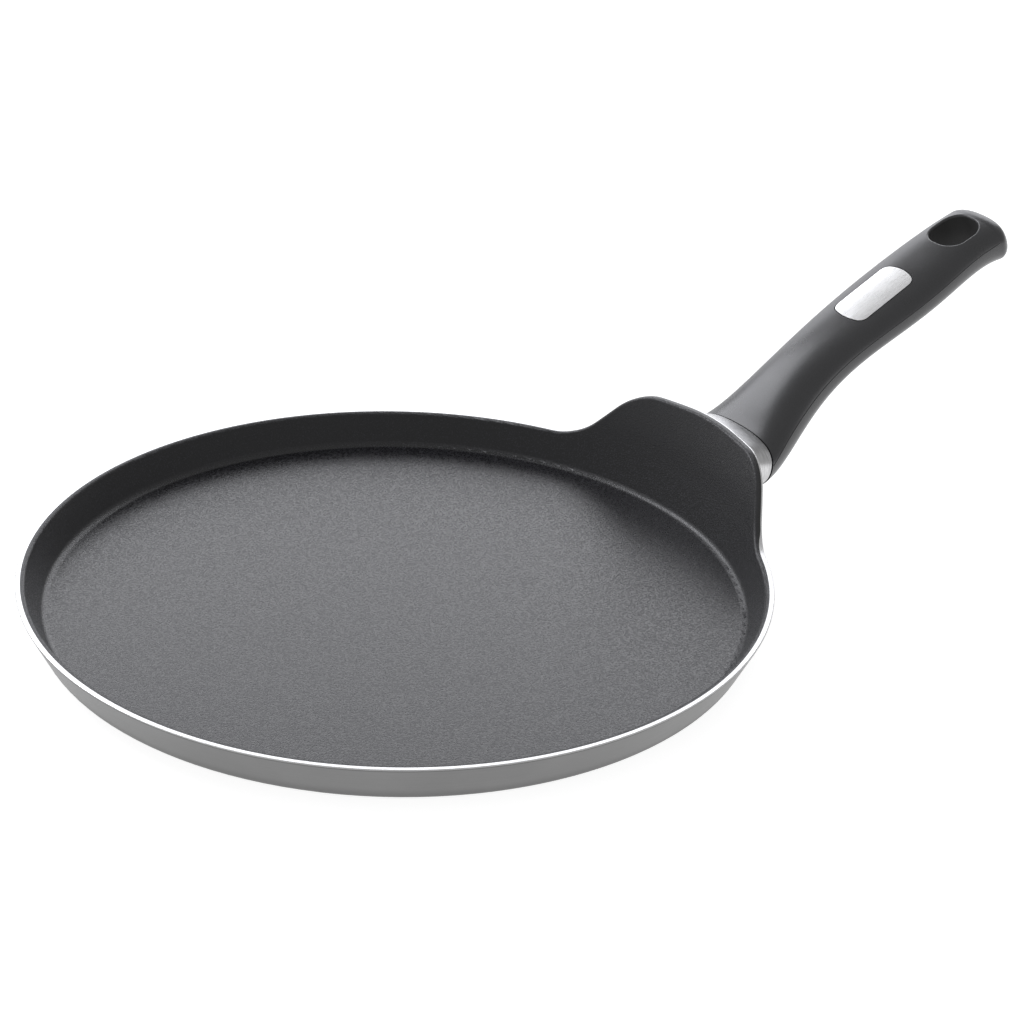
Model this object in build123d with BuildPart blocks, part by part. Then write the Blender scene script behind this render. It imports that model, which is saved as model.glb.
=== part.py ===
from build123d import *
import os
from math import cos, sin, tan, radians, hypot

# Crepe pan with a low flared wall, a raised handle tab and a one-screw moulded handle.
# Millimetres. The origin is the middle of the base, where the pan stands; +Z is up and the handle points along +X.

# Pan
rim_radius = 140.0
rim_height = 16.2
wall_flare = 26.5
wall_thickness = 3.2
floor_thickness = 3.9
floor_fillet = 3.2
base_corner_radius = 4.0
rim_inner_round = 1.2
rim_outer_round = 0.4

# Raised tab that carries the handle: a low roof shape over straight flanks, measured before its corners are rounded
tab_rise = 25.9
tab_crown = 2.5
tab_top_half_width = 37.5
tab_flank_run = 19.2
tab_root_radius = 20.4
tab_corner_radius = 24.9
tab_crown_radius = 180.0

# Just above the rim the tab bends up to stand steeper than the wall
tab_lean = 19.2
tab_bend_rise = 3.0
tab_bend_radius = 50.0

# Turned rings in the underside
base_ring_count = 6
base_ring_pitch = 20.0
base_ring_width = 1.4
base_ring_depth = 0.4

# Non-stick coating
coat_thickness = 0.4

# Joint between the flame guard and the handle: how far its middle stands out from the rim and above it
guard_reach = 21.4
joint_rise = 8.3
joint_lean = 12.8
neck_width = 48.0
neck_thickness = 21.4

# Flame guard
guard_wall = 0.9
guard_edge_round = 0.3

# Handle
handle_reach = 131.6
handle_rise = 69.3
shoulder_slope = 20.3
waist_slope = 32.3
grip_slope = 27.3
rear_slope = 21.0
tip_slope = 23.0
waist_width = 32.0
waist_thickness = 18.3
grip_width = 33.6
grip_thickness = 16.3
tip_width = 32.2
tip_thickness = 19.4
tip_cap_length = 7.9
spigot_length = 3.0
joint_gap = 0.6

# Hanging hole
hanging_hole_length = 19.7
hanging_hole_width = 17.6
hanging_hole_corner = 7.5
hanging_hole_round = 0.8
hanging_hole_setback = 18.8

# Badge
badge_length = 32.9
badge_width = 17.4
badge_corner = 4.0
badge_bow = 2.2
badge_recess_depth = 2.2
badge_setback = 63.4
badge_gap = 0.4

# Bracket behind the tab
plate_width = 34.0
plate_height = 13.0
plate_thickness = 2.4
plate_corner = 3.0
boss_width = 11.0
boss_height = 8.4
boss_rise = 11.5
boss_depth_in_handle = 8.4
boss_corner = 1.0

# Weld studs that hold the bracket
stud_radius = 2.5
stud_spacing = 22.0
stud_head_radius = 3.8
stud_head_height = 1.4
stud_weld_depth = 0.3

# Handle screw and its spring washer
screw_radius = 2.5
screw_length = 16.0
screw_head_radius = 4.5
screw_head_height = 2.8
screw_head_round = 0.9
screw_bore_radius = 2.8
screw_tip_chamfer = 0.6
drive_length = 5.0
drive_width = 1.1
drive_depth = 1.6
washer_outer_radius = 4.2
washer_thickness = 1.1
washer_slit = 0.8
handle_web = 4.0
head_bore_radius = 5.0

# Clearances
fit_gap = 0.3
thread_gap = 0.1
overrun = 6.0

# Shares of the sizes that they follow
edge_climb_share = 0.9
section_fullness_share = 0.69
shoulder_reach_share = 0.106
shoulder_rise_share = 0.124
shoulder_width_share = 0.44
shoulder_thickness_share = 0.60
waist_reach_share = 0.239
waist_rise_share = 0.333
grip_reach_share = 0.461
grip_rise_share = 0.577
rear_reach_share = 0.802
rear_rise_share = 0.87
rear_width_share = 0.30
rear_thickness_share = 0.48
tip_cap_shares = (0.0, 0.30, 0.55, 0.75, 0.90, 0.98)
cap_power = 2.1

# Worked out from the sizes above
flare = radians(wall_flare)
lean = radians(tab_lean)
bend_height = rim_height + tab_bend_rise
bend_radius = rim_radius + tab_bend_rise * tan(flare)
tab_top = rim_height + tab_rise
tab_foot_half_width = tab_top_half_width + tab_flank_run
tall_height = tab_top + overrun
joint_reach = rim_radius + guard_reach
joint_height = rim_height + joint_rise
boss_axis_height = rim_height + boss_rise
tip_reach = joint_reach + handle_reach
tip_height = joint_height + handle_rise
boss_end = joint_reach + boss_depth_in_handle
socket_floor = boss_end + fit_gap
head_seat = socket_floor + handle_web
head_start = head_seat + washer_thickness


def wall_radius(height, inwards=0.0):
    """Radius of a surface in the wall at a height, a distance inwards from the outside of the wall."""
    above_bend = height - bend_height
    on_wall = bend_radius + above_bend * tan(flare) - inwards / cos(flare)
    on_tab = bend_radius + above_bend * tan(lean) - inwards / cos(lean)
    return min(on_wall, on_tab)


def bend_point(inwards):
    """Where that surface turns from the wall's slope to the tab's."""
    rise = inwards * (1 / cos(flare) - 1 / cos(lean)) / (tan(flare) - tan(lean))
    return wall_radius(bend_height + rise, inwards), bend_height + rise


def outer_radius(height):
    """Radius of the outside of the wall at a height."""
    return wall_radius(height)


def inner_radius(height, setback=0.0):
    """Radius of the inside of the wall, with the surface set back into the metal."""
    return wall_radius(height, wall_thickness - setback)


def tall_pan(setback=0.0):
    """Pan whose wall is as tall as the tab all the way round, its inside set back into the metal."""
    floor = floor_thickness - setback
    base_corner = (outer_radius(0), 0)
    outer_bend = bend_point(0)
    inner_bend = bend_point(wall_thickness - setback)
    floor_corner = (inner_radius(floor, setback), floor)
    rounds = (
        (base_corner, base_corner_radius),
        (outer_bend, tab_bend_radius + wall_thickness),
        (inner_bend, tab_bend_radius + setback),
        (floor_corner, floor_fillet + setback),
    )
    with BuildPart() as tall:
        with BuildSketch(Plane.XZ) as section:
            with BuildLine():
                Polyline(
                    (0, 0),
                    base_corner,
                    outer_bend,
                    (outer_radius(tall_height), tall_height),
                    (inner_radius(tall_height, setback), tall_height),
                    inner_bend,
                    floor_corner,
                    (0, floor),
                    close=True,
                )
            make_face()
            for corner, radius in rounds:
                fillet(section.vertices().sort_by_distance((*corner, 0))[0], radius=radius)
        revolve(axis=Axis.Z)
    return tall.part


def above_the_edge(lowered=0.0):
    """All the space above the rim and the tab's wave-shaped edge."""
    edge = rim_height - lowered
    top = tab_top - lowered
    shoulder = top - tab_crown
    reach = outer_radius(tall_height) + overrun
    with BuildPart() as space:
        with BuildSketch(Plane.YZ) as wave:
            with BuildLine():
                Polyline(
                    (-reach, edge),
                    (-tab_foot_half_width, edge),
                    (-tab_top_half_width, shoulder),
                    (0, top),
                    (tab_top_half_width, shoulder),
                    (tab_foot_half_width, edge),
                    (reach, edge),
                    (reach, tall_height + overrun),
                    (-reach, tall_height + overrun),
                    close=True,
                )
            make_face()
            rounds = (
                (0, top, tab_crown_radius),
                (-tab_foot_half_width, edge, tab_root_radius),
                (tab_foot_half_width, edge, tab_root_radius),
                (-tab_top_half_width, shoulder, tab_corner_radius),
                (tab_top_half_width, shoulder, tab_corner_radius),
            )
            for across, height, radius in rounds:
                fillet(wave.vertices().sort_by_distance((across, height, 0))[0], radius=radius)
        extrude(amount=reach)
        with BuildSketch(Plane.XY.offset(edge)):
            Rectangle(reach, 2 * reach, align=(Align.MAX, Align.CENTER))
        extrude(amount=tall_height + overrun - edge)
    return space.part


def wall_edges(part, radius_at):
    """Edges that run along the top of the wall at the radius given for each height."""
    def on_wall(edge):
        middle = edge @ 0.5
        return (
            middle.Z > rim_height - coat_thickness - fit_gap
            and abs(hypot(middle.X, middle.Y) - radius_at(middle.Z)) < fit_gap
            and abs(edge.tangent_at(0.5).Z) < edge_climb_share
            and edge.length > fit_gap
        )
    return part.edges().filter_by(on_wall)


def inside_outer_wall(gap):
    """Solid cone bounded by the outside of the wall, moved out by a gap."""
    with BuildPart() as cone:
        with BuildSketch(Plane.XZ):
            with BuildLine():
                Polyline(
                    (0, 0),
                    (outer_radius(0) + gap, 0),
                    (bend_radius + gap, bend_height),
                    (outer_radius(tall_height) + gap, tall_height),
                    (0, tall_height),
                    close=True,
                )
            make_face()
        revolve(axis=Axis.Z)
    return cone.part


def tilted_plane(reach, height, slope):
    """Plane across the handle: its normal points along the handle, its X across it."""
    slope = radians(slope)
    return Plane(origin=(reach, 0, height), x_dir=(0, 1, 0), z_dir=(cos(slope), 0, sin(slope)))


def top_plane(reach, height, slope):
    """Plane along the handle: its X points along the handle, its normal out of the handle's top."""
    slope = radians(slope)
    return Plane(origin=(reach, 0, height), x_dir=(cos(slope), 0, sin(slope)), z_dir=(-sin(slope), 0, cos(slope)))


def full_oval(width, thickness):
    """Face fuller than an ellipse, bounded by four curves that meet smoothly."""
    a = width / 2
    b = thickness / 2
    k = section_fullness_share
    with BuildSketch() as oval:
        with BuildLine():
            Bezier((a, 0), (a, k * b), (k * a, b), (0, b))
            Bezier((0, b), (-k * a, b), (-a, k * b), (-a, 0))
            Bezier((-a, 0), (-a, -k * b), (-k * a, -b), (0, -b))
            Bezier((0, -b), (k * a, -b), (a, -k * b), (a, 0))
        make_face()
    return oval.sketch


def bowed_plate(length, width, corner, bow):
    """Rounded rectangle whose two short ends bow outwards."""
    half = length / 2
    side = half - bow
    with BuildSketch() as outline:
        with BuildLine():
            Line((-side, width / 2), (side, width / 2))
            ThreePointArc((side, width / 2), (half, 0), (side, -width / 2))
            Line((side, -width / 2), (-side, -width / 2))
            ThreePointArc((-side, -width / 2), (-half, 0), (-side, width / 2))
        make_face()
        fillet(outline.vertices(), radius=corner)
    return outline.sketch


def mix(start, end, share):
    return start + (end - start) * share


# Stations along the handle: reach, height, slope, width, thickness
stations = [
    (joint_reach, joint_height, -joint_lean, neck_width, neck_thickness),
    (
        joint_reach + handle_reach * shoulder_reach_share,
        joint_height + handle_rise * shoulder_rise_share,
        shoulder_slope,
        mix(waist_width, neck_width, shoulder_width_share),
        mix(waist_thickness, neck_thickness, shoulder_thickness_share),
    ),
    (
        joint_reach + handle_reach * waist_reach_share,
        joint_height + handle_rise * waist_rise_share,
        waist_slope,
        waist_width,
        waist_thickness,
    ),
    (
        joint_reach + handle_reach * grip_reach_share,
        joint_height + handle_rise * grip_rise_share,
        grip_slope,
        grip_width,
        grip_thickness,
    ),
    (
        joint_reach + handle_reach * rear_reach_share,
        joint_height + handle_rise * rear_rise_share,
        rear_slope,
        mix(tip_width, grip_width, rear_width_share),
        mix(grip_thickness, tip_thickness, rear_thickness_share),
    ),
    (
        tip_reach - tip_cap_length * cos(radians(tip_slope)),
        tip_height - tip_cap_length * sin(radians(tip_slope)),
        tip_slope,
        tip_width,
        tip_thickness,
    ),
]


def cap_share(share):
    """How much of its width the rounded tip keeps at a share of its length."""
    return (1 - share ** cap_power) ** (1 / cap_power)


def handle_blank():
    """Outside of the handle, with no holes."""
    cap_reach, cap_height = stations[-1][:2]
    with BuildPart() as blank:
        for reach, height, slope, width, thickness in stations:
            with BuildSketch(tilted_plane(reach, height, slope)):
                add(full_oval(width, thickness))
        loft()
        for share in tip_cap_shares:
            along = tip_cap_length * share
            reach = cap_reach + along * cos(radians(tip_slope))
            height = cap_height + along * sin(radians(tip_slope))
            with BuildSketch(tilted_plane(reach, height, tip_slope)):
                add(full_oval(tip_width * cap_share(share), tip_thickness * cap_share(share)))
        loft()
    return blank.part


def along_handle(setback):
    """Plane along the handle through its middle line, at a distance back from its tip."""
    reach = tip_reach - setback * cos(radians(rear_slope))
    start, end = (stations[3], stations[4]) if reach < stations[4][0] else (stations[4], stations[5])
    share = (reach - start[0]) / (end[0] - start[0])
    return top_plane(reach, mix(start[1], end[1], share), mix(start[2], end[2], share))


os.makedirs("parts", exist_ok=True)

neck = tilted_plane(joint_reach, joint_height, -joint_lean)

# Weld studs: welded to the outside of the tab, so that no rivet shows inside, and peened over the bracket
stud_planes = []
for side in (-1, 1):
    wall = outer_radius(boss_axis_height)
    across = side * stud_spacing / 2
    depth = (wall ** 2 - across ** 2) ** 0.5
    stud_planes.append(
        Plane(
            origin=(depth, across, boss_axis_height),
            z_dir=(depth / wall * cos(lean), across / wall * cos(lean), -sin(lean)),
        )
    )
with BuildPart() as weld_studs:
    for plane in stud_planes:
        with BuildSketch(plane.offset(-stud_weld_depth)):
            Circle(stud_radius)
        extrude(amount=stud_weld_depth + fit_gap + plate_thickness + thread_gap)
        with BuildSketch(plane.offset(fit_gap + plate_thickness + thread_gap)):
            Circle(stud_head_radius)
        extrude(amount=stud_head_height)
        top = weld_studs.faces().sort_by(Axis(plane.origin, plane.z_dir))[-1]
        fillet(top.edges(), radius=stud_head_height / 2)
weld_studs.part.label = "weld_studs"
export_step(weld_studs.part, "parts/weld_studs.step")

# Pan body: floor, wall and tab pressed from one disc, without the coating, with a shallow seat for each stud
blank = tall_pan() - above_the_edge()
blank = fillet(wall_edges(blank, inner_radius), radius=rim_inner_round)
core = tall_pan(coat_thickness) - above_the_edge(coat_thickness)
core = fillet(
    wall_edges(core, lambda height: inner_radius(height, coat_thickness)),
    radius=rim_inner_round - coat_thickness,
)
bare_edge = tall_pan(rim_inner_round) - above_the_edge()
metal = core + bare_edge

with BuildPart() as pan_body:
    add(metal)
    fillet(wall_edges(pan_body.part, outer_radius), radius=rim_outer_round)
    with BuildSketch(Plane.XZ):
        for ring in range(1, base_ring_count + 1):
            with Locations((base_ring_pitch * ring, 0)):
                Rectangle(base_ring_width, 2 * base_ring_depth)
    revolve(axis=Axis.Z, mode=Mode.SUBTRACT)
    add(weld_studs.part, mode=Mode.SUBTRACT)
pan_body.part.label = "pan_body"
export_step(pan_body.part, "parts/pan_body.step")

# Non-stick coating: the skin over the floor, the inside of the wall and the tab, up to the bare rim
with BuildPart() as nonstick_coating:
    add(blank)
    add(metal, mode=Mode.SUBTRACT)
nonstick_coating.part.label = "nonstick_coating"
export_step(nonstick_coating.part, "parts/nonstick_coating.step")

# Bracket: a plate that follows the tab's outside, with a tapped boss that reaches into the handle
screw_tip = head_start - screw_length
boss_start = outer_radius(boss_axis_height) - plate_thickness
with BuildPart() as handle_bracket:
    with BuildSketch(Plane.YZ.offset(boss_start - wall_thickness)):
        with Locations((0, boss_axis_height)):
            RectangleRounded(plate_width, plate_height, plate_corner)
    extrude(amount=plate_thickness + wall_thickness + overrun)
    add(inside_outer_wall(fit_gap + plate_thickness), mode=Mode.INTERSECT)
    with BuildSketch(Plane.YZ.offset(boss_start)):
        with Locations((0, boss_axis_height)):
            RectangleRounded(boss_width, boss_height, boss_corner)
    extrude(amount=boss_end - boss_start)
    add(inside_outer_wall(fit_gap), mode=Mode.SUBTRACT)
    with BuildSketch(Plane.YZ.offset(screw_tip - thread_gap)):
        with Locations((0, boss_axis_height)):
            Circle(screw_radius + thread_gap)
    extrude(amount=boss_end - screw_tip + overrun, mode=Mode.SUBTRACT)
    for plane in stud_planes:
        with BuildSketch(plane.offset(-stud_weld_depth)):
            Circle(stud_radius + thread_gap)
        extrude(amount=plate_thickness + overrun, mode=Mode.SUBTRACT)
handle_bracket.part.label = "handle_bracket"
export_step(handle_bracket.part, "parts/handle_bracket.step")

# Flame guard: a thin sleeve from the tab to just short of the handle's shoulder
with BuildPart() as flame_guard:
    guard_length = joint_reach - outer_radius(joint_height) + overrun
    with BuildSketch(neck.offset(-joint_gap)):
        add(full_oval(neck_width, neck_thickness))
    extrude(amount=-guard_length)
    fillet(flame_guard.faces().sort_by(Axis.X)[-1].edges(), radius=guard_edge_round)
    with BuildSketch(neck):
        add(full_oval(neck_width - 2 * guard_wall, neck_thickness - 2 * guard_wall))
    extrude(amount=-guard_length - overrun, mode=Mode.SUBTRACT)
    add(inside_outer_wall(fit_gap), mode=Mode.SUBTRACT)
flame_guard.part.label = "flame_guard"
export_step(flame_guard.part, "parts/flame_guard.step")

# Handle: one moulding with a spigot, a socket for the boss, a screw bore, a badge recess and a hanging hole
outside = handle_blank()
badge_plane = along_handle(badge_setback)
badge_column = extrude(badge_plane * bowed_plate(badge_length, badge_width, badge_corner, badge_bow), amount=tip_width)
badge_high = badge_plane.to_local_coords(outside & badge_column).bounding_box().max.Z
badge_floor = badge_plane.offset(badge_high - badge_recess_depth)
hole_plane = along_handle(hanging_hole_setback)
with BuildPart() as handle:
    add(outside)
    with BuildSketch(neck):
        add(full_oval(neck_width - 2 * (guard_wall + fit_gap), neck_thickness - 2 * (guard_wall + fit_gap)))
    extrude(amount=-spigot_length)
    with BuildSketch(Plane.YZ.offset(socket_floor)):
        with Locations((0, boss_axis_height)):
            RectangleRounded(boss_width + 2 * fit_gap, boss_height + 2 * fit_gap, boss_corner)
    extrude(amount=-(boss_depth_in_handle + spigot_length + overrun), mode=Mode.SUBTRACT)
    with BuildSketch(Plane.YZ.offset(socket_floor - thread_gap)):
        with Locations((0, boss_axis_height)):
            Circle(screw_bore_radius)
    extrude(amount=handle_web + overrun, mode=Mode.SUBTRACT)
    with BuildSketch(Plane.YZ.offset(head_seat)):
        with Locations((0, boss_axis_height)):
            Circle(head_bore_radius)
    extrude(amount=neck_width, mode=Mode.SUBTRACT)
    with BuildSketch(hole_plane):
        RectangleRounded(hanging_hole_length, hanging_hole_width, hanging_hole_corner)
    extrude(amount=tip_thickness, both=True, mode=Mode.SUBTRACT)
    hole_edges = handle.edges(Select.LAST).filter_by(GeomType.LINE, reverse=True)
    fillet(hole_edges, radius=hanging_hole_round)
    with BuildSketch(badge_floor):
        add(bowed_plate(badge_length + 2 * badge_gap, badge_width + 2 * badge_gap,
                        badge_corner + badge_gap, badge_bow))
    extrude(amount=tip_thickness, mode=Mode.SUBTRACT)
handle.part.label = "handle"
export_step(handle.part, "parts/handle.step")

# Badge: a bare plate whose top carries on the curve of the handle
with BuildPart() as badge:
    add(outside)
    with BuildSketch(badge_floor):
        add(bowed_plate(badge_length, badge_width, badge_corner, badge_bow))
    extrude(amount=tip_thickness, mode=Mode.INTERSECT)
badge.part.label = "badge"
export_step(badge.part, "parts/badge.step")

# Handle screw: pan head with a cross recess, driven in from under the neck
with BuildPart() as handle_screw:
    with BuildSketch(Plane.YZ.offset(head_start)):
        with Locations((0, boss_axis_height)):
            Circle(screw_head_radius)
    extrude(amount=screw_head_height)
    fillet(handle_screw.faces().sort_by(Axis.X)[-1].edges(), radius=screw_head_round)
    with BuildSketch(Plane.YZ.offset(head_start)):
        with Locations((0, boss_axis_height)):
            Circle(screw_radius)
    extrude(amount=-screw_length)
    chamfer(handle_screw.faces().sort_by(Axis.X)[0].edges(), length=screw_tip_chamfer)
    with BuildSketch(Plane.YZ.offset(head_start + screw_head_height - drive_depth)):
        with Locations((0, boss_axis_height)):
            Rectangle(drive_length, drive_width)
            Rectangle(drive_width, drive_length)
    extrude(amount=drive_depth, mode=Mode.SUBTRACT)
handle_screw.part.label = "handle_screw"
export_step(handle_screw.part, "parts/handle_screw.step")

# Spring washer: a split ring under the screw's head
with BuildPart() as spring_washer:
    with BuildSketch(Plane.YZ.offset(head_seat)):
        with Locations((0, boss_axis_height)):
            Circle(washer_outer_radius)
            Circle(screw_bore_radius, mode=Mode.SUBTRACT)
        with Locations((0, boss_axis_height + washer_outer_radius / 2)):
            Rectangle(washer_slit, washer_outer_radius, mode=Mode.SUBTRACT)
    extrude(amount=washer_thickness)
spring_washer.part.label = "spring_washer"
export_step(spring_washer.part, "parts/spring_washer.step")
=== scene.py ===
import bpy
from math import cos, pi, radians, sin
from mathutils import Matrix, Vector


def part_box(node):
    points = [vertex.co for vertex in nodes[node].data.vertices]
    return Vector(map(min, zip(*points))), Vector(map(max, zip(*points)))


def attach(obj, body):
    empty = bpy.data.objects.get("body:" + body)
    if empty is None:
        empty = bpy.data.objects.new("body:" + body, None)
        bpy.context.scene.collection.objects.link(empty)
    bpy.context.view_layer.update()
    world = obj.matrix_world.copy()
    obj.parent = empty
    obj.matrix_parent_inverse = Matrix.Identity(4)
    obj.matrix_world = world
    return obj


# Crepe pan in the row frame: metres, origin in the middle of the base, +Z up, handle along +X.
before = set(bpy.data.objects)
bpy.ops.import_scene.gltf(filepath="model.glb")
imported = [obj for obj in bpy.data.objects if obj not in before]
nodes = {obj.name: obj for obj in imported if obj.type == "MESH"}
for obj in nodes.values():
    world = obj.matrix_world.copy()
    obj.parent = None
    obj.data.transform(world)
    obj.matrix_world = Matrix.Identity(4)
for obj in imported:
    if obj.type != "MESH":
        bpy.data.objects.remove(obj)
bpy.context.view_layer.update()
mm = 0.001

# Camera, from the rim and the handle's line in the photograph, with its height measured from the rim
rim_height = 16.2 * mm
camera_place = Vector((-525.426, -767.367, 498.016)) * mm + Vector((0, 0, rim_height))
camera_direction = Vector((0.536025, 0.712128, -0.4533775)).normalized()
camera_roll = radians(2.309)
camera_lens = 100.0
camera_sensor = 36.0
camera_near = 10 * mm

# Places on the pan and the handle that their finishes, painted shade and painted light change at
rim_radius = 140 * mm
bend_height = 19.2 * mm
bend_lean = 1.5 * mm
tab_height = 41.7 * mm
tab_lean = 9.33 * mm
bare_edge_wide = 2.1 * mm
bare_edge_slim = 0.9 * mm
bare_edge_soft = 0.1 * mm
rim_soft = 0.5 * mm
bare_edge_narrows_from = rim_height + rim_soft
bare_edge_narrows_over = 4 * mm
# Painted shade: a thin darker line just under the rim edge, in this band
painted_shade_under_rim_band = 1.2 * mm
# Painted shade: the wall darkens towards the base over these heights
base_shade_start = 0.5 * mm
base_shade_height = 6 * mm
dull_from = 4.4 * mm
dull_to = 5.2 * mm
# Painted light: the coat is painted paler up the tab between these heights
painted_light_tab_from = 15 * mm
painted_light_tab_to = 27 * mm
hole_reach = 12 * mm
hole_reach_soft = 1 * mm
hole_centre = Vector((275.4, 0, 87.5)) * mm
hole_axis = Vector((-0.373, 0, 0.928))

# Parting line of the handle's mould
seam_start = 6 * mm
seam_turn = 14 * mm
seam_radius = 0.34 * mm
seam_sink = 0.12 * mm
seam_height_share = 0.62
seam_steps = 30
seam_turn_steps = 12
seam_search = 100 * mm
beside_hole = 11 * mm

# Studio: a floor that shows only from above, and soft boxes by azimuth and elevation from the pan, in degrees
floor_side = 12.0
floor_drop = 0.1 * mm
floor_tone = (0.5, 0.5, 0.5)
floor_glow = 0.85
world_strength = 0.45
box_tint = (0.97, 0.98, 1.03)
soft_boxes = {
    "back_box": {"azimuth": 53, "elevation": 23, "distance": 2.2, "size": (2.6, 1.5), "radiance": 1.35},
    "core_box": {"azimuth": 50, "elevation": 30, "distance": 2.1, "size": (1.8, 0.5), "radiance": 0.8},
    "side_box": {"azimuth": 104, "elevation": 40, "distance": 1.8, "size": (1.0, 1.0), "radiance": 3.8},
}


def make_camera():
    right = camera_direction.cross(Vector((0, 0, 1))).normalized()
    up = right.cross(camera_direction)
    right, up = (
        right * cos(camera_roll) + up * sin(camera_roll),
        up * cos(camera_roll) - right * sin(camera_roll),
    )
    data = bpy.data.cameras.new("camera")
    data.lens = camera_lens
    data.sensor_width = camera_sensor
    data.clip_start = camera_near
    camera = bpy.data.objects.new("camera", data)
    axes = Matrix((right, up, -camera_direction)).transposed().to_4x4()
    camera.matrix_world = Matrix.Translation(camera_place) @ axes
    bpy.context.scene.collection.objects.link(camera)
    bpy.context.scene.camera = camera


def make_light(name, azimuth, elevation, distance, size, radiance):
    """Soft box seen from the pan at that azimuth and elevation, aimed at the pan."""
    across = cos(radians(elevation))
    place = Vector((cos(radians(azimuth)) * across, sin(radians(azimuth)) * across, sin(radians(elevation))))
    data = bpy.data.lights.new(name, "AREA")
    data.shape = "RECTANGLE"
    data.size, data.size_y = size
    data.color = box_tint
    data.energy = radiance * pi * size[0] * size[1]
    light = bpy.data.objects.new(name, data)
    light.rotation_euler = place.to_track_quat("Z", "Y").to_euler()
    light.location = place * distance
    bpy.context.scene.collection.objects.link(light)


def make_floor():
    half = floor_side / 2
    mesh = bpy.data.meshes.new("floor")
    corners = [(x, y, -floor_drop) for x, y in ((-half, -half), (half, -half), (half, half), (-half, half))]
    mesh.from_pydata(corners, [], [(0, 1, 2, 3)])
    floor = bpy.data.objects.new("floor", mesh)
    bpy.context.scene.collection.objects.link(floor)
    graph = Graph("floor_paper")
    graph.base(floor_tone)
    graph.set("Roughness", 0.8)
    graph.set("Emission Color", (1, 1, 1, 1))
    graph.set("Emission Strength", floor_glow)
    seen_from_below = graph.add("ShaderNodeNewGeometry").outputs["Backfacing"]
    either = graph.add("ShaderNodeMixShader")
    graph.feed(seen_from_below, either.inputs[0])
    graph.feed(graph.shader.outputs[0], either.inputs[1])
    graph.feed(graph.add("ShaderNodeBsdfTransparent").outputs[0], either.inputs[2])
    graph.feed(either.outputs[0], graph.tree.nodes["Material Output"].inputs["Surface"])
    mesh.materials.append(graph.material)


def make_studio():
    world = bpy.data.worlds.new("studio")
    world.use_nodes = True
    world.node_tree.nodes["Background"].inputs["Color"].default_value = (1, 1, 1, 1)
    world.node_tree.nodes["Background"].inputs["Strength"].default_value = world_strength
    bpy.context.scene.world = world
    bpy.context.scene.view_settings.view_transform = "Standard"
    for name, box in soft_boxes.items():
        make_light(name, **box)
    make_floor()


class Graph:
    """A material and short calls that add nodes to it."""

    def __init__(self, name):
        self.material = bpy.data.materials.new(name)
        self.material.use_nodes = True
        self.tree = self.material.node_tree
        self.shader = self.tree.nodes["Principled BSDF"]

    def set(self, socket, value):
        self.shader.inputs[socket].default_value = value

    def base(self, colour):
        self.set("Base Color", (*colour, 1))

    def feed(self, socket, target):
        if hasattr(socket, "is_output"):
            self.tree.links.new(socket, target)
        elif hasattr(target.default_value, "__len__") and len(target.default_value) == 4:
            target.default_value = (*socket, 1)
        else:
            target.default_value = socket

    def link(self, socket, name):
        self.tree.links.new(socket, self.shader.inputs[name])

    def add(self, kind, **settings):
        node = self.tree.nodes.new(kind)
        for key, value in settings.items():
            setattr(node, key, value)
        return node

    def place(self):
        return self.add("ShaderNodeTexCoord").outputs["Object"]

    def parts(self, vector):
        node = self.add("ShaderNodeSeparateXYZ")
        self.feed(vector, node.inputs[0])
        return node.outputs

    def maths(self, operation, *values):
        node = self.add("ShaderNodeMath", operation=operation)
        for value, target in zip(values, node.inputs):
            self.feed(value, target)
        return node.outputs[0]

    def vector(self, operation, first, second):
        node = self.add("ShaderNodeVectorMath", operation=operation)
        self.feed(first, node.inputs[0])
        self.feed(second, node.inputs[1])
        return node.outputs["Value" if operation == "DOT_PRODUCT" else "Vector"]

    def join(self, x, y, z):
        node = self.add("ShaderNodeCombineXYZ")
        for value, target in zip((x, y, z), node.inputs):
            self.feed(value, target)
        return node.outputs[0]

    def noise(self, vector, grain, detail=3.0, roughness=0.6):
        """Noise from 0 to 1 with grains about that many metres across."""
        node = self.add("ShaderNodeTexNoise")
        self.feed(vector, node.inputs["Vector"])
        node.inputs["Scale"].default_value = 1 / grain
        node.inputs["Detail"].default_value = detail
        node.inputs["Roughness"].default_value = roughness
        return node.outputs["Fac"]

    def range(self, value, low, high, start, end, smooth=True):
        node = self.add("ShaderNodeMapRange", interpolation_type="SMOOTHSTEP" if smooth else "LINEAR")
        for number, target in zip((value, low, high, start, end), node.inputs):
            self.feed(number, target)
        return node.outputs[0]

    def mix(self, share, first, second):
        node = self.add("ShaderNodeMix", data_type="RGBA")
        self.feed(share, node.inputs[0])
        self.feed(first, node.inputs[6])
        self.feed(second, node.inputs[7])
        return node.outputs[2]

    def bump(self, height, depth, strength=1.0, normal=None):
        node = self.add("ShaderNodeBump")
        node.inputs["Strength"].default_value = strength
        node.inputs["Distance"].default_value = depth
        self.feed(height, node.inputs["Height"])
        if normal is not None:
            self.feed(normal, node.inputs["Normal"])
        return node.outputs[0]


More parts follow.
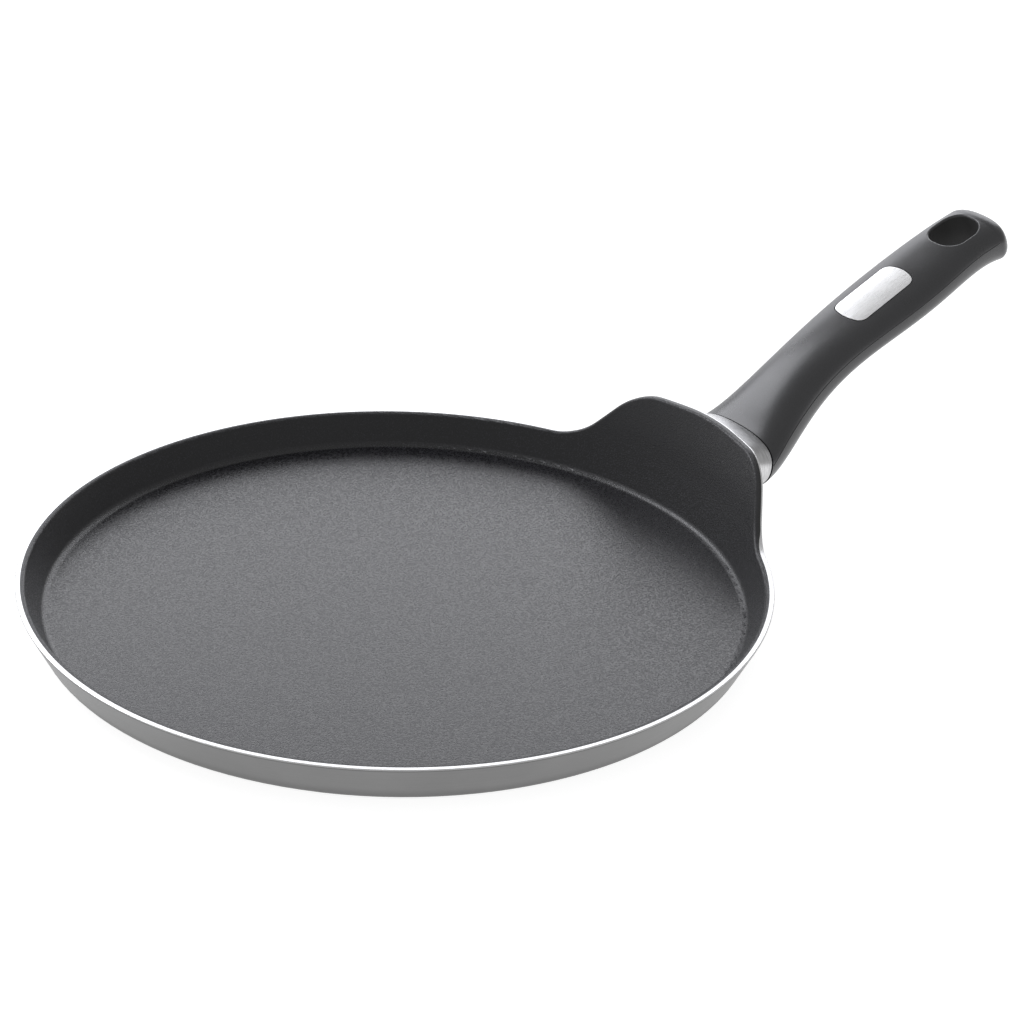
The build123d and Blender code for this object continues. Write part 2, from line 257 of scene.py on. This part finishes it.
def pan_metal():
    """Satin aluminium with turning marks, painted shade under the rim and towards the base, and a bare bright
    edge that narrows up the tab.
    """
    graph = Graph("pan_metal")
    place = graph.place()
    x, y, z = graph.parts(place)
    squares = graph.maths("ADD", graph.maths("MULTIPLY", x, x), graph.maths("MULTIPLY", y, y))
    radius = graph.maths("SQRT", squares)
    normal = graph.parts(graph.add("ShaderNodeNewGeometry").outputs["Normal"])
    edge = graph.range(normal[2], 0.1, 0.45, 0.0, 1.0)
    lean = graph.maths(
        "ADD",
        graph.range(z, rim_height, bend_height, 0.0, bend_lean, smooth=False),
        graph.range(z, bend_height, tab_height, 0.0, tab_lean - bend_lean, smooth=False),
    )
    depth = graph.maths("SUBTRACT", graph.maths("ADD", lean, rim_radius), radius)
    narrowed = bare_edge_narrows_from + bare_edge_narrows_over
    bare = graph.range(z, bare_edge_narrows_from, narrowed, bare_edge_wide, bare_edge_slim)
    coated = graph.range(graph.maths("SUBTRACT", depth, bare), -bare_edge_soft, bare_edge_soft, 0.0, 1.0)
    coated = graph.maths("MULTIPLY", coated, edge)
    fine = graph.noise(place, 0.35 * mm, 2.0)
    cloud = graph.noise(place, 35 * mm, 3.0)
    rings = graph.noise(graph.join(radius, graph.maths("MULTIPLY", cloud, 2 * mm), z), 0.5 * mm, 4.0)
    tone = graph.mix(graph.range(cloud, 0.3, 0.7, 0.0, 1.0), (0.185, 0.185, 0.185), (0.205, 0.205, 0.205))
    tone = graph.mix(graph.range(rings, 0.3, 0.7, 0.0, 0.35), tone, (0.27, 0.27, 0.27))
    # Painted shade: the wall's tone darkens in a thin line just under the rim
    painted_shade_under_rim = graph.maths(
        "MULTIPLY",
        graph.range(z, rim_height - painted_shade_under_rim_band, rim_height - rim_soft, 0.0, 1.0),
        graph.range(z, rim_height, rim_height + rim_soft, 0.5, 0.0),
    )
    # Painted shade towards the base, added to the painted shade under the rim; together they darken the wall's
    # tone
    shade = graph.maths("ADD", painted_shade_under_rim, graph.range(z, base_shade_start, base_shade_height, 0.55, 0.0))
    tone = graph.mix(shade, tone, (0.10, 0.10, 0.10))
    tone = graph.mix(edge, tone, (0.72, 0.72, 0.72))
    graph.link(graph.mix(coated, tone, (0.02, 0.02, 0.021)), "Base Color")
    graph.link(graph.maths("MULTIPLY", graph.maths("SUBTRACT", 1.0, coated), 0.92), "Metallic")
    satin = graph.range(rings, 0.2, 0.8, 0.36, 0.50)
    graph.link(graph.maths("SUBTRACT", satin, graph.maths("MULTIPLY", edge, 0.12)), "Roughness")
    still = graph.maths("SUBTRACT", 1.0, edge)
    lines = graph.bump(graph.maths("MULTIPLY", rings, still), 0.02 * mm, 0.35)
    graph.link(graph.bump(graph.maths("MULTIPLY", fine, still), 0.012 * mm, 0.4, lines), "Normal")
    return graph.material


def nonstick():
    """Dark sintered coating: glossy between rough grains on the floor, duller and a little paler up the tab,
    the paler tone being painted light.
    """
    graph = Graph("nonstick")
    place = graph.place()
    speckle = graph.noise(place, 0.6 * mm, 1.0, 0.5)
    grain = graph.noise(place, 0.35 * mm, 1.0)
    cloud = graph.noise(place, 60 * mm, 2.0)
    tone = graph.mix(graph.range(speckle, 0.5, 0.7, 0.0, 1.0), (0.009, 0.009, 0.011), (0.034, 0.034, 0.040))
    tone = graph.mix(graph.range(cloud, 0.3, 0.7, 0.0, 0.25), tone, (0.014, 0.014, 0.016))
    height = graph.parts(place)[2]
    # Painted light: the coat's tone is raised up the tab, standing in for the light the tab catches
    tone = graph.mix(graph.range(height, painted_light_tab_from, painted_light_tab_to, 0.0, 0.8), tone, (0.030, 0.030, 0.033))
    graph.link(tone, "Base Color")
    above = graph.range(height, dull_from, dull_to, 0.0, 0.16)
    graph.link(graph.maths("ADD", graph.range(speckle, 0.36, 0.64, 0.14, 0.40), above), "Roughness")
    graph.set("Specular IOR Level", 0.55)
    rough = graph.bump(speckle, 0.09 * mm, 1.0)
    graph.link(graph.bump(grain, 0.06 * mm, 0.8, rough), "Normal")
    return graph.material


def handle_plastic():
    """Dark moulded thermoset: even satin with a fine spark-eroded grain, left dull inside the hole and painted
    near black there as painted shade.
    """
    graph = Graph("handle_plastic")
    place = graph.place()
    grain = graph.noise(place, 0.45 * mm, 2.0, 0.6)
    cloud = graph.noise(place, 18 * mm, 3.0)
    offset = graph.vector("SUBTRACT", place, tuple(hole_centre))
    along = graph.vector("DOT_PRODUCT", offset, tuple(hole_axis))
    apart = graph.vector("DOT_PRODUCT", offset, offset)
    across = graph.maths("SQRT", graph.maths("SUBTRACT", apart, graph.maths("MULTIPLY", along, along)))
    normal = graph.add("ShaderNodeNewGeometry").outputs["Normal"]
    facing = graph.maths("ABSOLUTE", graph.vector("DOT_PRODUCT", normal, tuple(hole_axis)))
    # Painted shade: the inner wall of the hanging hole is painted near black
    near = graph.range(across, hole_reach, hole_reach + hole_reach_soft, 1.0, 0.0)
    hole_wall_painted_shade = graph.maths("MULTIPLY", near, graph.range(facing, 0.1, 0.5, 1.0, 0.0))
    tone = graph.mix(graph.range(grain, 0.3, 0.7, 0.0, 1.0), (0.016, 0.016, 0.018), (0.026, 0.026, 0.029))
    tone = graph.mix(graph.range(cloud, 0.3, 0.7, 0.0, 0.3), tone, (0.027, 0.027, 0.030))
    graph.link(graph.mix(hole_wall_painted_shade, tone, (0.001, 0.001, 0.001)), "Base Color")
    satin = graph.range(cloud, 0.2, 0.8, 0.26, 0.32)
    graph.link(graph.maths("ADD", satin, graph.maths("MULTIPLY", hole_wall_painted_shade, 0.5)), "Roughness")
    graph.set("Specular IOR Level", 0.8)
    graph.link(graph.bump(grain, 0.025 * mm, 0.5), "Normal")
    return graph.material


def guard_metal():
    """Satin stainless sleeve, brushed round its section."""
    graph = Graph("guard_metal")
    place = graph.place()
    x, y, z = graph.parts(place)
    stretch = graph.join(x, graph.maths("MULTIPLY", y, 0.06), graph.maths("MULTIPLY", z, 0.06))
    lines = graph.noise(stretch, 0.35 * mm, 3.0)
    fine = graph.noise(place, 0.5 * mm, 2.0)
    tone = graph.mix(graph.range(lines, 0.3, 0.7, 0.0, 1.0), (0.46, 0.46, 0.465), (0.66, 0.66, 0.665))
    graph.link(tone, "Base Color")
    graph.set("Metallic", 1.0)
    graph.link(graph.range(fine, 0.3, 0.7, 0.30, 0.38), "Roughness")
    graph.link(graph.bump(lines, 0.015 * mm, 0.5), "Normal")
    return graph.material


def badge_metal():
    """Bright satin plate, brushed along the handle, left bare."""
    graph = Graph("badge_metal")
    place = graph.place()
    x, y, z = graph.parts(place)
    stretch = graph.join(graph.maths("MULTIPLY", x, 0.05), y, graph.maths("MULTIPLY", z, 0.05))
    lines = graph.noise(stretch, 0.25 * mm, 3.0)
    tone = graph.mix(graph.range(lines, 0.3, 0.7, 0.0, 1.0), (0.88, 0.88, 0.885), (0.95, 0.95, 0.95))
    graph.link(tone, "Base Color")
    graph.set("Metallic", 1.0)
    graph.link(graph.range(lines, 0.3, 0.7, 0.26, 0.34), "Roughness")
    graph.link(graph.bump(lines, 0.004 * mm, 0.4), "Normal")
    return graph.material


def steel(name, dark, light, smooth, rough, grain):
    """Plain steel hardware with rolled marks and cloudy plating."""
    graph = Graph(name)
    place = graph.place()
    marks = graph.noise(place, grain, 4.0, 0.65)
    cloud = graph.noise(place, 6 * mm, 3.0)
    graph.link(graph.mix(graph.range(cloud, 0.3, 0.7, 0.0, 1.0), dark, light), "Base Color")
    graph.set("Metallic", 1.0)
    graph.link(graph.range(marks, 0.3, 0.7, smooth, rough), "Roughness")
    graph.link(graph.bump(marks, 0.02 * mm, 0.4), "Normal")
    return graph.material


def handle_seam(material):
    """Fine raised line that the two halves of the mould leave along the handle's sides and round its tip."""
    handle = nodes["handle"]
    low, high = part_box("handle")
    first, last = low.x + seam_start, high.x - seam_turn

    def middle(reach):
        top = handle.ray_cast(Vector((reach, beside_hole, seam_search * 2)), Vector((0, 0, -1)))[1].z
        base = handle.ray_cast(Vector((reach, beside_hole, -seam_search)), Vector((0, 0, 1)))[1].z
        return Vector((reach, 0, mix(base, top, seam_height_share)))

    def surface(centre, outwards):
        hit, place, normal, _ = handle.ray_cast(centre + outwards * seam_search, -outwards)
        return place - normal * seam_sink

    reaches = [mix(first, last, step / seam_steps) for step in range(seam_steps + 1)]
    end = middle(last)
    along = (end - middle(last - seam_turn)).normalized()
    turns = [pi * step / seam_turn_steps for step in range(1, seam_turn_steps)]
    points = [surface(middle(reach), Vector((0, -1, 0))) for reach in reaches]
    points += [surface(end, along * sin(turn) - Vector((0, cos(turn), 0))) for turn in turns]
    points += [surface(middle(reach), Vector((0, 1, 0))) for reach in reversed(reaches)]
    data = bpy.data.curves.new("handle_seam", "CURVE")
    data.dimensions = "3D"
    data.bevel_depth = seam_radius
    data.bevel_resolution = 3
    spline = data.splines.new("NURBS")
    spline.points.add(len(points) - 1)
    for point, place in zip(spline.points, points):
        point.co = (*place, 1)
    spline.order_u = 3
    spline.use_endpoint_u = True
    seam = bpy.data.objects.new("handle_seam", data)
    bpy.context.scene.collection.objects.link(seam)
    data.materials.append(material)
    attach(seam, "root")


def mix(start, end, share):
    return start + (end - start) * share


def dress(node, material):
    """Puts a material on every slot of a CAD node."""
    slots = nodes[node].data.materials
    slots.clear()
    slots.append(material)


make_camera()
make_studio()

dress("pan_body", pan_metal())
dress("nonstick_coating", nonstick())
plastic = handle_plastic()
dress("handle", plastic)
handle_seam(plastic)
dress("flame_guard", guard_metal())
dress("badge", badge_metal())
dress("weld_studs", steel("stud_metal", (0.55, 0.55, 0.55), (0.63, 0.63, 0.63), 0.32, 0.48, 0.5 * mm))
dress("handle_bracket", steel("bracket_metal", (0.42, 0.42, 0.43), (0.52, 0.52, 0.53), 0.35, 0.55, 0.7 * mm))
dress("handle_screw", steel("screw_metal", (0.60, 0.60, 0.61), (0.72, 0.72, 0.72), 0.22, 0.36, 0.4 * mm))
dress("spring_washer", steel("washer_metal", (0.50, 0.50, 0.51), (0.60, 0.60, 0.61), 0.28, 0.42, 0.4 * mm))
